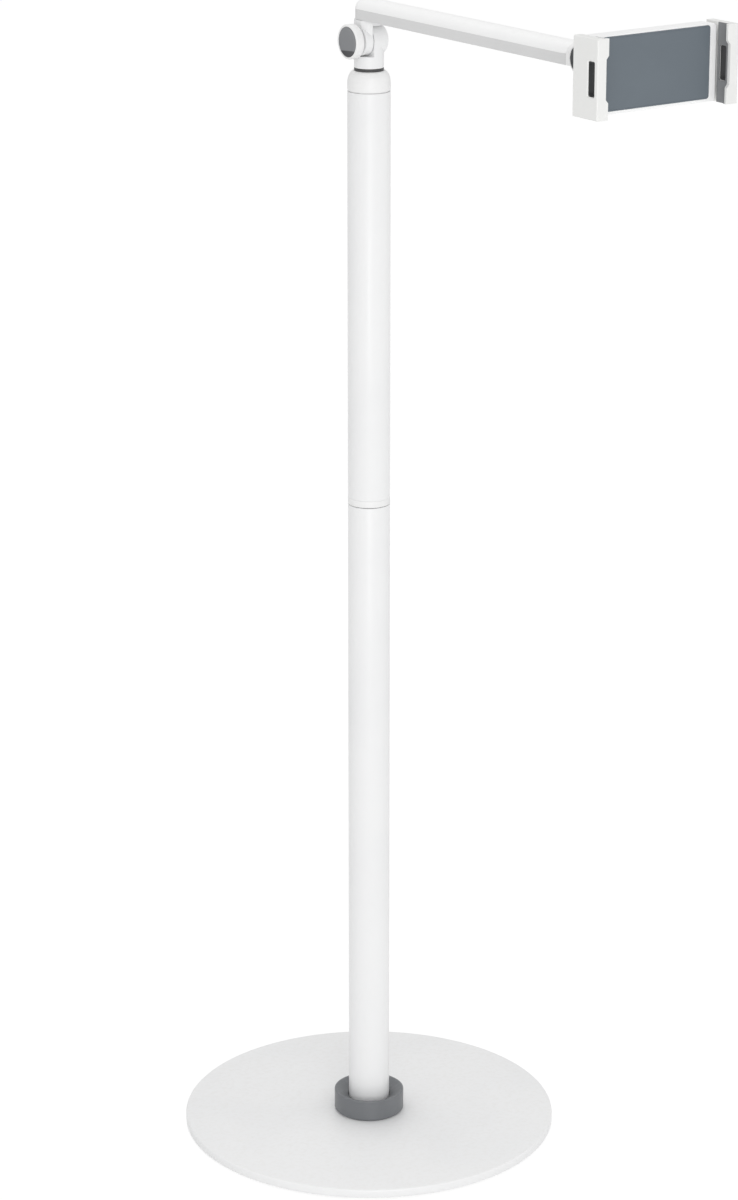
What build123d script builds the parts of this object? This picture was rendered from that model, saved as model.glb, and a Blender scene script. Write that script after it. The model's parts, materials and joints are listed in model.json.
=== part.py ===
from build123d import *

import os
from math import cos, radians, sin

# Adjustable tablet floor stand, in millimetres.
# The origin is the centre of the base's underside, and +Z is up.
# The arm and the holder point along -Y, and both clamping knobs are on the -X side.

# Fits
overrun = 6.0               # how far a cutter runs past the face that it opens
running_gap = 0.05          # radial clearance of a pin or shaft that turns
sliding_gap = 0.08          # radial clearance of the telescoping mast
fixed_gap = 0.02            # radial clearance of what is pressed, screwed or glued in
free_gap = 0.3              # clear space between pieces that pass each other
seam_gap = 0.5              # open joint line under the lock collar
cap_seam_gap = 0.8          # open joint line under the shoulder cap
edge_match = 0.001          # how near a plane an edge must lie to count as in it

# Base
base_d = 320.0
base_plate_t = 7.0
base_edge_chamfer = 1.2
base_pad_t = 1.6
base_pad_inset = 5.5        # the pad's edge lies this far inside the plate's
base_bolt_d = 10.0
base_bolt_length = 36.0
base_bolt_head_d = 20.0
base_bolt_head_h = 5.0
base_bolt_socket_af = 6.0
base_bolt_socket_depth = 3.0

# Collar round the foot of the mast
collar_d = 60.0
collar_h = 19.0
collar_dish = 6.0           # the top face falls this far from its rim to the tube
collar_tube_gap = 0.6       # open groove between the collar and the tube
collar_edge = 0.8
collar_foot_bevel = 1.6

# Mast tubes
tube_d = 35.0
tube_wall = 1.5
lower_tube_length = 551.0
upper_tube_length = 338.4
foot_plug_h = 40.0
inner_tube_d = 28.0
inner_tube_wall = 1.5
inner_tube_in_lower = 330.0
inner_tube_cap_gap = 4.4    # between the inner tube and the shoulder cap's spigot
bushing_length = 45.0
bushing_nose_h = 4.0
bushing_nose_wall = 1.4
guide_shoe_h = 25.0
guide_shoe_floor = 2.5
sleeve_length = 40.0

# Lock collar at the middle of the mast
lock_collar_h = 5.5
lock_collar_edge = 0.4

# Shoulder cap and swivel at the top of the mast
cap_wall_h = 6.0
cap_dome_h = 10.6
cap_spigot_h = 24.0
cap_spigot_wall = 2.5
cap_boss_d = 18.0
cap_top_ledge = 0.2         # the cap's top stands out this far beyond the neck
gasket_t = 2.6
gasket_hole_d = 14.0
spindle_d = 10.0
spindle_in_neck = 8.0
spindle_past_nut = 2.5
swivel_washer_t = 1.2
swivel_washer_d = 17.0
swivel_nut_af = 16.0
swivel_nut_h = 8.0

# Head knuckle
neck_d = 24.0
neck_rise = 21.8            # from the gasket to the tilt axis
riser_inset = 1.0           # the bracket's riser ends this far inside the neck's radius
knuckle_half_width = 11.0   # from the mast's axis to the outer face of each ear
knuckle_seam_x = 3.6        # the joint face lies this far towards the knob
friction_disc_t = 0.8
friction_disc_inset = 0.8   # the disc's edge lies this far inside the barrel's
pivot_d = 6.0
pivot_head_d = 11.0
pivot_head_h = 4.0
pivot_head_sink = 0.5
pivot_socket_af = 4.0
pivot_socket_depth = 2.2
ear_edge = 0.8

# Clamping knobs, a larger one at the head and a smaller one at the wrist
head_knob_d = 28.0
head_knob_h = 9.5
head_knob_hub_d = 17.0
head_knob_insert_d = 24.2
head_knob_insert_t = 2.0
head_knob_nut_h = 5.0
wrist_knob_d = 23.5
wrist_knob_h = 7.4
wrist_knob_hub_d = 14.4
wrist_knob_insert_d = 20.3
wrist_knob_insert_t = 1.4
wrist_knob_nut_h = 4.0
knob_hub_h = 1.8
knob_edge = 1.0
knob_insert_edge = 0.5
knob_washer_d = 15.0
knob_washer_t = 1.0
knob_nut_af = 10.0
knob_nut_sink = 1.0         # the nut starts this far inside the knob's inner face

# Arm
arm_over_axis = 16.6        # from the tilt axis up to the arm's underside
arm_width = 22.0
beam_h = 8.6
beam_wall = 2.0
beam_edge = 1.0
crown_h = 8.5
cover_wall = 1.8
cover_end_wall = 2.0
cover_rib_t = 1.2
cover_rib_drop = 3.0
cover_rib_rise = 3.2
wrist_reach = 292.0         # from the mast's axis to the wrist's tilt axis
wrist_lug_length = 25.0     # from the end of the beam to the wrist's tilt axis
wrist_barrel_d = 21.0
wrist_link_h = 12.0
wrist_tongue_length = 14.0
root_screw_circle_r = 6.0

# Small screws
screw_d = 3.0
screw_head_d = 5.5
screw_head_h = 2.0
screw_socket_af = 2.0
screw_socket_depth = 1.2
root_screw_length = 6.0
tongue_screw_length = 5.0
tongue_screw_inset = 7.0

# Yoke and roll joint behind the holder
wrist_to_holder = 51.5      # from the wrist's tilt axis to the holder's back
yoke_neck_d = 18.0
yoke_flange_d = 26.0
yoke_flange_t = 4.0
yoke_edge = 1.0
roll_gasket_t = 2.0
roll_gasket_inset = 0.5
roll_boss_h = 11.5
roll_boss_foot_d = 40.0
roll_bolt_d = 8.0
roll_bolt_in_yoke = 14.0
roll_bolt_head_d = 13.0
roll_bolt_head_h = 3.5
roll_washer_t = 1.0
roll_washer_d = 14.0
roll_socket_af = 5.0
roll_socket_depth = 2.0

# Holder housing
housing_half_width = 56.2
housing_half_height = 28.5
housing_t = 14.5
housing_corner_r = 3.0
housing_edge = 0.8
housing_wall = 2.2
housing_back_wall = 2.5
housing_front_wall = 2.5
housing_split = 7.5         # depth of the back cover, from its back to the joint line
pad_half_width = 49.6
pad_half_height = 26.9
pad_rise = 0.7              # the pad's middle stands this far above the housing's
pad_corner_r = 2.2
pad_t = 1.4
pad_sink = 0.6
pad_edge = 0.4
post_d = 6.4
post_places_share = (-0.78, -0.42, 0.42, 0.78)   # of the housing's half width
housing_screw_length = 10.0
guide_rib_w = 2.0

# Rails and springs
rail_t = 3.0
rail_w = 12.0
rail_offset = 19.2          # from the holder's centre line to a rail's centre line
rail_reach = 50.0           # past the holder's middle, towards the other jaw
rail_web_w = 2.4
rail_web_inset = 0.6        # the web starts this far inside the jaw's wall
rail_layer_gap = 0.4
rail_slot_gap = 0.2
spring_d = 4.2
spring_wire = 0.8
spring_offset = 9.6
spring_post_d = 3.6
spring_post_x = 38.0
spring_post_h = 6.0
spring_hook = 5.0
spring_hole_gap = 0.4

# Jaws
jaw_half_span = 65.5        # from the holder's middle to a jaw's outer face
jaw_half_height = 29.25
jaw_depth = 28.5
jaw_wall = 7.3
jaw_edge = 1.0
jaw_inner_edge = 0.5
lip_w = 10.3
lip_t = 2.6
lip_recess = 2.4
lip_recess_half = 14.5
lip_recess_ramp = 2.9
jaw_slot_w = 7.2
jaw_slot_half = 12.7
jaw_slot_corner_r = 1.4
jaw_slot_setback = 4.1      # from the lips' front to the slot's near edge
jaw_slot_bevel = 0.8
slot_sleeve_wall = 0.6
liner_t = 1.2
liner_margin = 0.1
liner_back_gap = 0.6        # between the liner and the housing's front plane
liner_hook = 1.4            # how far the liner's edge turns in behind the lip

# Heights of the mast, from the floor up
pad_top = base_pad_t
base_top = pad_top + base_plate_t
lower_top = base_top + lower_tube_length
lock_bottom = lower_top + seam_gap
lock_top = lock_bottom + lock_collar_h
upper_top = lock_top + upper_tube_length
cap_wall_top = upper_top + cap_wall_h
cap_top = cap_wall_top + cap_dome_h
gasket_top = cap_top + gasket_t
head_z = gasket_top + neck_rise
arm_bottom = head_z + arm_over_axis
beam_top = arm_bottom + beam_h
arm_top = beam_top + crown_h
arm_z = (arm_bottom + arm_top) / 2

# Radii of the mast
tube_r = tube_d / 2
tube_bore_r = tube_r - tube_wall
inner_r = inner_tube_d / 2
inner_bottom = lower_top - inner_tube_in_lower
inner_top = upper_top - cap_spigot_h - inner_tube_cap_gap
neck_r = neck_d / 2

# Places of the wrist and the holder, along -Y
wrist_y = -wrist_reach
arm_bar_end = wrist_reach - wrist_lug_length
tongue_screw_y = -arm_bar_end + tongue_screw_inset
wrist_r = wrist_barrel_d / 2
back_y = wrist_y - wrist_to_holder
housing_front_y = back_y - housing_t
split_y = back_y - housing_split
jaw_front_y = back_y - jaw_depth
inside_back_y = back_y - housing_back_wall
inside_front_y = housing_front_y + housing_front_wall
roll_boss_y = back_y + roll_boss_h
roll_gasket_y = roll_boss_y + roll_gasket_t
back_rail_y = inside_back_y - free_gap
front_rail_y = back_rail_y - rail_t - rail_layer_gap
spring_y = (inside_back_y + inside_front_y) / 2
jaw_inner_x = jaw_half_span - jaw_wall
lip_inner_x = jaw_half_span - lip_w
slot_near_y = jaw_front_y + jaw_slot_setback
screw_sink = housing_back_wall / 2

low = (Align.CENTER, Align.CENTER, Align.MIN)
corner = (Align.MIN, Align.MIN, Align.MIN)


def block(x0, x1, y0, y1, z0, z1):
    """A box between two corners."""
    return Pos(x0, y0, z0) * Box(x1 - x0, y1 - y0, z1 - z0, align=corner)


def rod_z(r, z0, z1, x=0, y=0):
    """A round bar along Z."""
    return Pos(x, y, z0) * Cylinder(r, z1 - z0, align=low)


def rod_x(r, x0, x1, y, z):
    """A round bar along X."""
    return Pos(x0, y, z) * Rot(0, 90, 0) * Cylinder(r, x1 - x0, align=low)


def rod_y(r, y0, y1, x, z):
    """A round bar along Y."""
    return Pos(x, y0, z) * Rot(-90, 0, 0) * Cylinder(r, y1 - y0, align=low)


def cone_y(r0, r1, y0, y1, x, z):
    """A cone along Y, from radius r0 at y0 to r1 at y1."""
    return Pos(x, y0, z) * Rot(-90, 0, 0) * Cone(r0, r1, y1 - y0, align=low)


def tube_z(r_out, r_in, z0, z1):
    """A round tube along Z."""
    return rod_z(r_out, z0, z1) - rod_z(r_in, z0 - overrun, z1 + overrun)


def turned(*points):
    """A profile of radius and height pairs, turned about the mast's axis."""
    outline = make_face(Polyline(*points, close=True))
    return revolve(Plane.XZ * outline, Axis.Z)


def hexagon_z(across_flats, z0, z1, x=0, y=0):
    """A hexagonal bar along Z."""
    face = RegularPolygon(across_flats / 2, 6, major_radius=False)
    return Pos(x, y, z0) * extrude(face, z1 - z0)


def rounded_plate_y(half_x, half_z, r, y0, y1, z):
    """A plate with round corners, lying across Y."""
    face = RectangleRounded(2 * half_x, 2 * half_z, r)
    return Pos(0, y1, z) * extrude(Plane.XZ * face, y1 - y0)


def edge_loops(part, axis, place):
    """The edges that lie in the plane across an axis at a place."""
    return part.edges().filter_by_position(axis, place - edge_match, place + edge_match)


def small_screw(length):
    """A socket screw along Z with its head's underside at zero."""
    body = rod_z(screw_d / 2, -length, 0) + rod_z(screw_head_d / 2, 0, screw_head_h)
    return body - hexagon_z(screw_socket_af, screw_head_h - screw_socket_depth, screw_head_h + overrun)


# Base plate and what holds the mast on it

def make_base_pad():
    return rod_z(base_d / 2 - base_pad_inset, 0, pad_top)


def make_base_plate():
    plate = rod_z(base_d / 2, pad_top, base_top)
    plate = chamfer(edge_loops(plate, Axis.Z, base_top), base_edge_chamfer)
    hole = rod_z(base_bolt_d / 2 + fixed_gap, pad_top - overrun, base_top + overrun)
    seat = Pos(0, 0, pad_top) * Cone(
        base_bolt_head_d / 2 + fixed_gap, base_bolt_d / 2 + fixed_gap, base_bolt_head_h, align=low)
    return plate - hole - seat


def make_base_bolt():
    head = Pos(0, 0, pad_top) * Cone(base_bolt_head_d / 2, base_bolt_d / 2, base_bolt_head_h, align=low)
    shank = rod_z(base_bolt_d / 2, pad_top + base_bolt_head_h, pad_top + base_bolt_length)
    socket = hexagon_z(base_bolt_socket_af, pad_top - overrun, pad_top + base_bolt_socket_depth)
    return head + shank - socket


def make_foot_plug():
    plug = rod_z(tube_bore_r - fixed_gap, base_top, base_top + foot_plug_h)
    return plug - rod_z(base_bolt_d / 2 + fixed_gap, base_top - overrun, base_top + foot_plug_h + overrun)


def make_base_collar():
    rim = base_top + collar_h
    r_in = tube_r + collar_tube_gap
    r_out = collar_d / 2
    return turned(
        (r_in, base_top), (r_out - collar_foot_bevel, base_top), (r_out, base_top + collar_foot_bevel),
        (r_out, rim - collar_edge), (r_out - collar_edge, rim), (r_in, rim - collar_dish))


# Mast

def make_lower_tube():
    return tube_z(tube_r, tube_bore_r, base_top, lower_top)


def make_lower_bushing():
    sleeve = rod_z(tube_bore_r - fixed_gap, lower_top - bushing_length, lower_top)
    nose = rod_z(inner_r + sliding_gap + bushing_nose_wall, lower_top, lower_top + bushing_nose_h)
    bore = rod_z(inner_r + sliding_gap, lower_top - bushing_length - overrun, lock_top + overrun)
    return sleeve + nose - bore


def make_lock_collar():
    ring = rod_z(tube_r, lock_bottom, lock_top)
    rims = edge_loops(ring, Axis.Z, lock_bottom) + edge_loops(ring, Axis.Z, lock_top)
    ring = chamfer(rims, lock_collar_edge)
    nose_r = inner_r + sliding_gap + bushing_nose_wall + running_gap
    nose_room = rod_z(nose_r, lower_top - overrun, lower_top + bushing_nose_h + sliding_gap)
    return ring - nose_room - rod_z(inner_r + free_gap, lower_top, lock_top + overrun)


def make_inner_tube():
    return tube_z(inner_r, inner_r - inner_tube_wall, inner_bottom, inner_top)


def make_guide_shoe():
    outer = rod_z(tube_bore_r - sliding_gap, inner_bottom - guide_shoe_floor, inner_bottom + guide_shoe_h)
    seat = rod_z(inner_r + fixed_gap, inner_bottom, inner_bottom + guide_shoe_h + overrun)
    vent = rod_z(inner_r / 2, inner_bottom - guide_shoe_floor - overrun, inner_bottom + overrun)
    return outer - seat - vent


def make_upper_tube():
    return tube_z(tube_r, tube_bore_r, lock_top, upper_top)


def make_upper_sleeves():
    starts = (lock_top, inner_top - sleeve_length)
    rings = [tube_z(tube_bore_r - fixed_gap, inner_r + fixed_gap, z, z + sleeve_length) for z in starts]
    return Compound(children=[ring.solid() for ring in rings])


def make_shoulder_cap():
    shoulder_r = neck_r + cap_top_ledge
    spigot_r = tube_bore_r - fixed_gap
    spigot_bottom = upper_top - cap_spigot_h
    wall_bottom = upper_top + cap_seam_gap
    inside_r = spigot_r - cap_spigot_wall
    boss_r = cap_boss_d / 2
    bore_r = spindle_d / 2 + running_gap
    dome = EllipticalCenterArc((shoulder_r, cap_wall_top), tube_r - shoulder_r, cap_dome_h, 0, arc_size=90)
    rest = Polyline(
        (shoulder_r, cap_top), (bore_r, cap_top), (bore_r, spigot_bottom), (boss_r, spigot_bottom),
        (boss_r, cap_wall_top), (inside_r, upper_top), (inside_r, spigot_bottom),
        (spigot_r, spigot_bottom), (spigot_r, wall_bottom), (tube_r, wall_bottom), (tube_r, cap_wall_top))
    return revolve(Plane.XZ * make_face([dome, rest]), Axis.Z)


def make_neck_gasket():
    return tube_z(neck_r, gasket_hole_d / 2, cap_top, gasket_top)


def make_neck_spindle():
    bottom = upper_top - cap_spigot_h - swivel_washer_t - swivel_nut_h - spindle_past_nut
    return rod_z(spindle_d / 2, bottom, gasket_top + spindle_in_neck)


def make_swivel_washer():
    z = upper_top - cap_spigot_h
    return tube_z(swivel_washer_d / 2, spindle_d / 2 + fixed_gap, z - swivel_washer_t, z)


def make_swivel_nut():
    z = upper_top - cap_spigot_h - swivel_washer_t
    nut = hexagon_z(swivel_nut_af, z - swivel_nut_h, z)
    return nut - rod_z(spindle_d / 2 + fixed_gap, z - swivel_nut_h - overrun, z + overrun)


# The two knuckles share one layout: a lug, a friction disc, an ear, a washer and a knob along X

lug_face_x = -knuckle_seam_x + friction_disc_t / 2
ear_face_x = -knuckle_seam_x - friction_disc_t / 2
ear_outer_x = -knuckle_half_width
washer_outer_x = ear_outer_x - knob_washer_t
nut_start_x = washer_outer_x - knob_nut_sink


def pivot_hole(gap, y, z):
    """The bore for a pivot bolt, through both halves of a knuckle."""
    return rod_x(pivot_d / 2 + gap, washer_outer_x - overrun, knuckle_half_width + overrun, y, z)


def pivot_head_room(y, z):
    """The pocket for the bolt's head, in a lug's outer face."""
    start = knuckle_half_width - pivot_head_sink - pivot_head_h
    return rod_x(pivot_head_d / 2 + fixed_gap, start, knuckle_half_width + overrun, y, z)


def make_pivot_bolt(nut_h, y, z):
    head_start = knuckle_half_width - pivot_head_sink - pivot_head_h
    bolt = rod_x(pivot_d / 2, nut_start_x - nut_h, head_start, y, z)
    bolt += rod_x(pivot_head_d / 2, head_start, head_start + pivot_head_h, y, z)
    socket = Rot(0, 90, 0) * hexagon_z(pivot_socket_af, 0, pivot_socket_depth + overrun)
    return bolt - Pos(head_start + pivot_head_h - pivot_socket_depth, y, z) * socket


def make_friction_disc(barrel_r, y, z):
    disc = rod_x(barrel_r - friction_disc_inset, ear_face_x, lug_face_x, y, z)
    return disc - pivot_hole(fixed_gap, y, z)


def make_knob_washer(y, z):
    washer = rod_x(knob_washer_d / 2, washer_outer_x, ear_outer_x, y, z)
    return washer - pivot_hole(running_gap, y, z)


def make_knob(size, height, hub_d, insert_d, insert_t, nut_h, y, z):
    """A flat round knob with a stepped hub, a round pocket in its face and a room for the nut."""
    rim_x = washer_outer_x - knob_hub_h
    outer_x = washer_outer_x - height
    hub = rod_x(hub_d / 2, rim_x - knob_edge, washer_outer_x, y, z)
    rim = rod_x(size / 2, outer_x, rim_x, y, z)
    rim = fillet(edge_loops(rim, Axis.X, outer_x) + edge_loops(rim, Axis.X, rim_x), knob_edge)
    face_pocket = rod_x(insert_d / 2 + fixed_gap, outer_x - overrun, outer_x + insert_t, y, z)
    nut_room = Pos(nut_start_x - nut_h, y, z) * Rot(0, 90, 0) * hexagon_z(
        knob_nut_af + 2 * fixed_gap, 0, nut_h)
    way_in = rod_x(pivot_d / 2 + running_gap, nut_start_x - nut_h, washer_outer_x + overrun, y, z)
    return hub + rim - face_pocket - nut_room - way_in


def make_knob_insert(height, insert_d, insert_t, y, z):
    outer_x = washer_outer_x - height
    disc = rod_x(insert_d / 2, outer_x, outer_x + insert_t, y, z)
    return fillet(edge_loops(disc, Axis.X, outer_x), knob_insert_edge)


def make_knob_nut(nut_h, y, z):
    nut = Pos(nut_start_x - nut_h, y, z) * Rot(0, 90, 0) * hexagon_z(knob_nut_af, 0, nut_h)
    return nut - rod_x(pivot_d / 2 + running_gap, nut_start_x - nut_h - overrun, nut_start_x + overrun, y, z)


def make_neck_knuckle():
    """The round neck, whose lug rises on the +X side of the joint face."""
    neck = rod_z(neck_r, gasket_top, head_z)
    lug = rod_x(neck_r, lug_face_x, knuckle_half_width, 0, head_z)
    lug = fillet(edge_loops(lug, Axis.X, knuckle_half_width), ear_edge)
    far = knuckle_half_width + overrun
    ear_room = block(-far, lug_face_x, -neck_d, neck_d, head_z - neck_r - free_gap, head_z + neck_d)
    spindle_room = rod_z(spindle_d / 2 + fixed_gap, gasket_top - overrun, gasket_top + spindle_in_neck)
    body = neck + lug - ear_room - spindle_room
    return body - pivot_hole(fixed_gap, 0, head_z) - pivot_head_room(0, head_z)


def make_tilt_bracket():
    """The ear on the knob's side, and the round table that carries the arm."""
    ear = rod_x(neck_r, ear_outer_x, ear_face_x, 0, head_z)
    ear = fillet(edge_loops(ear, Axis.X, ear_outer_x), ear_edge)
    half = neck_r - riser_inset
    riser = block(ear_outer_x, ear_face_x, -half, half, head_z, arm_bottom)
    table = rod_z(arm_width / 2, head_z + neck_r + free_gap, arm_bottom)
    body = ear + (riser & rod_z(neck_r, head_z, arm_bottom)) + table
    return body - pivot_hole(running_gap, 0, head_z) - root_screw_holes()


def root_places():
    """The three screws stand round the table, clear of the arm's side."""
    return [(root_screw_circle_r * cos(radians(a)), root_screw_circle_r * sin(radians(a)))
            for a in (90, 180, 270)]


def root_screw_holes():
    floor = arm_bottom + beam_wall
    holes = [rod_z(screw_d / 2 + fixed_gap, floor - root_screw_length - fixed_gap, floor + overrun, x, y)
             for x, y in root_places()]
    return Compound(children=holes)


def make_root_screws():
    floor = arm_bottom + beam_wall
    screws = [Pos(x, y, floor) * small_screw(root_screw_length) for x, y in root_places()]
    return Compound(children=[screw.solid() for screw in screws])


# Arm

def make_arm_beam():
    """A channel with a round head end, open at the top and at the wrist."""
    half = arm_width / 2
    inner = half - beam_wall
    outer = block(-half, half, -arm_bar_end, 0, arm_bottom, beam_top) + rod_z(half, arm_bottom, beam_top)
    outer = fillet(edge_loops(outer, Axis.Z, arm_bottom).filter_by(Axis.X, reverse=True), beam_edge)
    floor = arm_bottom + beam_wall
    trough = block(-inner, inner, -arm_bar_end - overrun, 0, floor, beam_top + overrun)
    trough += rod_z(inner, floor, beam_top + overrun)
    tongue_hole = rod_z(screw_d / 2 + fixed_gap, arm_bottom - overrun, floor + overrun, 0, tongue_screw_y)
    return outer - trough - root_screw_holes() - tongue_hole


def crown(half, height, length):
    """A half-elliptic ridge along -Y whose head end is a round dome."""
    arch = EllipticalCenterArc((0, beam_top), half, height, 0, arc_size=180)
    face = make_face([arch, Line((-half, beam_top), (half, beam_top))])
    ridge = extrude(Plane.XZ * face, length)
    quarter = EllipticalCenterArc((0, beam_top), half, height, 0, arc_size=90)
    sides = Polyline((0, beam_top + height), (0, beam_top), (half, beam_top))
    return ridge + revolve(Plane.XZ * make_face([quarter, sides]), Axis.Z)


def make_arm_cover():
    half = arm_width / 2
    shell = crown(half, crown_h, arm_bar_end)
    shell -= crown(half - cover_wall, crown_h - cover_wall, arm_bar_end - cover_end_wall)
    rib_x = half - beam_wall - fixed_gap
    for side in (-1, 1):
        x0, x1 = sorted((side * rib_x, side * (rib_x - cover_rib_t)))
        shell += block(x0, x1, -arm_bar_end + wrist_tongue_length + free_gap, 0,
                       beam_top - cover_rib_drop, beam_top + cover_rib_rise)
    return shell


def make_wrist_lug():
    """The arm's end, which plugs into the beam and holds the far half of the wrist."""
    half = arm_width / 2
    arch = EllipticalCenterArc((0, beam_top), half, crown_h, 0, arc_size=180)
    sides = Polyline((-half, beam_top), (-half, arm_bottom), (half, arm_bottom), (half, beam_top))
    solid = extrude(Plane.XZ * make_face([arch, sides]), wrist_reach - arm_bar_end)
    solid = fillet(edge_loops(solid, Axis.Z, arm_bottom).filter_by(Axis.Y), beam_edge)
    body = Pos(0, -arm_bar_end, 0) * solid
    barrel = rod_x(wrist_r, lug_face_x, knuckle_half_width, wrist_y, arm_z)
    body += fillet(edge_loops(barrel, Axis.X, knuckle_half_width), ear_edge)
    inner = half - beam_wall - fixed_gap
    floor = arm_bottom + beam_wall
    body += block(-inner, inner, -arm_bar_end, -arm_bar_end + wrist_tongue_length, floor, beam_top)
    far = knuckle_half_width + overrun
    body -= rod_x(wrist_r + free_gap, -far, lug_face_x, wrist_y, arm_z)
    body -= block(-far, lug_face_x, wrist_y - far, wrist_y, arm_bottom - overrun, arm_top + overrun)
    screw_end = arm_bottom + tongue_screw_length
    body -= rod_z(screw_d / 2 + fixed_gap, floor - overrun, screw_end, 0, tongue_screw_y)
    return body - pivot_hole(fixed_gap, wrist_y, arm_z) - pivot_head_room(wrist_y, arm_z)


def make_tongue_screw():
    """It comes up through the beam's floor from below, with its head under the arm."""
    return Pos(0, tongue_screw_y, arm_bottom) * Rot(180, 0, 0) * small_screw(tongue_screw_length)


# Wrist yoke and roll joint

def make_wrist_yoke():
    ear = rod_x(wrist_r, ear_outer_x, ear_face_x, wrist_y, arm_z)
    ear = fillet(edge_loops(ear, Axis.X, ear_outer_x), ear_edge)
    neck_start = wrist_y - wrist_r - free_gap
    flange_start = roll_gasket_y + yoke_flange_t
    half = wrist_link_h / 2
    link = block(ear_outer_x, ear_face_x, neck_start - yoke_flange_t, wrist_y, arm_z - half, arm_z + half)
    link = fillet(edge_loops(link, Axis.X, ear_outer_x), ear_edge)
    neck = rod_y(yoke_neck_d / 2, flange_start, neck_start, 0, arm_z)
    pad = rod_y(knuckle_half_width, neck_start - yoke_flange_t, neck_start, 0, arm_z)
    pad = fillet(edge_loops(pad, Axis.Y, neck_start - yoke_flange_t), yoke_edge)
    flange = rod_y(yoke_flange_d / 2, roll_gasket_y, flange_start, 0, arm_z)
    flange = fillet(edge_loops(flange, Axis.Y, flange_start), yoke_edge)
    bore_end = roll_gasket_y + roll_bolt_in_yoke
    bore = rod_y(roll_bolt_d / 2 + fixed_gap, roll_gasket_y - overrun, bore_end, 0, arm_z)
    return ear + link + pad + neck + flange - bore - pivot_hole(running_gap, wrist_y, arm_z)


def make_roll_gasket():
    ring = rod_y(yoke_flange_d / 2 - roll_gasket_inset, roll_boss_y, roll_gasket_y, 0, arm_z)
    bore = rod_y(roll_bolt_d / 2 + fixed_gap, roll_boss_y - overrun, roll_gasket_y + overrun, 0, arm_z)
    return ring - bore


def make_roll_washer():
    ring = rod_y(roll_washer_d / 2, inside_back_y - roll_washer_t, inside_back_y, 0, arm_z)
    bore = rod_y(roll_bolt_d / 2 + fixed_gap, inside_back_y - overrun, inside_back_y + overrun, 0, arm_z)
    return ring - bore


def make_roll_bolt():
    under_head = inside_back_y - roll_washer_t
    bolt = rod_y(roll_bolt_d / 2, under_head, roll_gasket_y + roll_bolt_in_yoke, 0, arm_z)
    bolt += rod_y(roll_bolt_head_d / 2, under_head - roll_bolt_head_h, under_head, 0, arm_z)
    face = under_head - roll_bolt_head_h + roll_socket_depth
    socket = Rot(90, 0, 0) * hexagon_z(roll_socket_af, 0, roll_socket_depth + overrun)
    return bolt - Pos(0, face, arm_z) * socket


# Holder housing

def post_places():
    return [share * housing_half_width for share in post_places_share]


def rail_slots():
    """The ways out of the housing's ends for the rails and the spring hooks."""
    cuts = []
    for side, layer_y in ((-1, back_rail_y), (1, front_rail_y)):
        x0, x1 = sorted((side * (housing_half_width - housing_wall - overrun),
                         side * (housing_half_width + overrun)))
        for up in (-1, 1):
            z = arm_z + up * rail_offset
            half = rail_w / 2 + rail_slot_gap
            cuts.append(block(x0, x1, layer_y - rail_t - rail_slot_gap, layer_y + rail_slot_gap,
                              z - half, z + half))
        cuts.append(rod_x(spring_d / 2 + spring_hole_gap, x0, x1, spring_y, arm_z - side * spring_offset))
    return Compound(children=cuts)


def housing_solid(y0, y1):
    """A rounded slice of the housing."""
    return rounded_plate_y(housing_half_width, housing_half_height, housing_corner_r, y0, y1, arm_z)


def housing_room(y0, y1):
    """The hollow inside the housing."""
    return rounded_plate_y(housing_half_width - housing_wall, housing_half_height - housing_wall,
                           housing_corner_r - housing_wall, y0, y1, arm_z)


def make_holder_back():
    shell = housing_solid(split_y, back_y)
    shell = fillet(edge_loops(shell, Axis.Y, back_y), housing_edge)
    shell -= housing_room(split_y - overrun, inside_back_y)
    boss_r = yoke_flange_d / 2
    shell += cone_y(roll_boss_foot_d / 2, boss_r, back_y - housing_edge, roll_boss_y, 0, arm_z)
    for side in (-1, 1):
        z = arm_z - side * spring_offset
        shell += rod_y(spring_post_d / 2, inside_back_y - spring_post_h, inside_back_y,
                       -side * spring_post_x, z)
    bore = rod_y(roll_bolt_d / 2 + running_gap, inside_back_y - overrun, roll_boss_y + overrun, 0, arm_z)
    shell -= bore
    for x in post_places():
        shell -= rod_y(screw_d / 2 + fixed_gap, inside_back_y - overrun, back_y + overrun, x, arm_z)
        shell -= rod_y(screw_head_d / 2 + fixed_gap, back_y - screw_sink, back_y + overrun, x, arm_z)
    return shell - rail_slots()


def make_holder_frame():
    shell = housing_solid(housing_front_y, split_y)
    shell = fillet(edge_loops(shell, Axis.Y, housing_front_y), housing_edge)
    shell -= housing_room(inside_front_y, split_y + overrun)
    for x in post_places():
        shell += rod_y(post_d / 2, inside_front_y, inside_back_y, x, arm_z)
        shell -= rod_y(screw_d / 2 + fixed_gap, back_y - screw_sink - housing_screw_length,
                       back_y + overrun, x, arm_z)
    rib_end = front_rail_y - rail_t - free_gap
    reach = housing_half_width - housing_wall
    for up in (-1, 1):
        z = arm_z + up * rail_offset
        shell += block(-reach, reach, inside_front_y, rib_end, z - guide_rib_w / 2, z + guide_rib_w / 2)
    recess = rounded_plate_y(pad_half_width + fixed_gap, pad_half_height + fixed_gap, pad_corner_r,
                             housing_front_y - overrun, housing_front_y + pad_sink, arm_z + pad_rise)
    return shell - recess - rail_slots()


def make_holder_pad():
    front = housing_front_y + pad_sink - pad_t
    place_z = arm_z + pad_rise
    pad = rounded_plate_y(pad_half_width, pad_half_height, pad_corner_r, front, front + pad_t, place_z)
    return fillet(edge_loops(pad, Axis.Y, front), pad_edge)


def make_housing_screws():
    screws = [Pos(x, back_y - screw_sink, arm_z) * Rot(-90, 0, 0) * small_screw(housing_screw_length)
              for x in post_places()]
    return Compound(children=[screw.solid() for screw in screws])


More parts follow.
